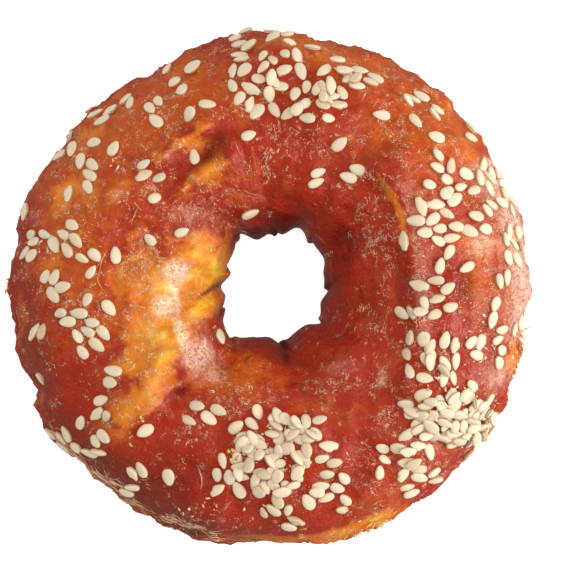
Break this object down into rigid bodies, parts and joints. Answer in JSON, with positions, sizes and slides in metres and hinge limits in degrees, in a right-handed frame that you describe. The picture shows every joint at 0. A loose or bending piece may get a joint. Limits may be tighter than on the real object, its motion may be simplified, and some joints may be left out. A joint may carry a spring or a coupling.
{
  "type": "sesame bagel",
  "caption": "Ring-shaped bagel with a folded, glazed red-brown crust and patches and piles of sesame seeds on its top.",
  "frame": {"origin": "middle of the hole, on the surface that the ring lies on", "axes": "+Z up out of the seeded top; seen from above as in the picture, +X is to the right and +Y is up"},
  "size_m": [0.1031, 0.0991, 0.0349],
  "materials": {
    "crust": "glazed, translucent red-brown crust, glossy with a fine grain",
    "sesame": "hulled sesame, cream and satin, with a thin browner rim",
    "crumb": "golden crumbs, fibres and frayed ends of the crust"
  },
  "bodies": {
    "root": {"sesame_bagel": "crust"}
  },
  "joints": []
}
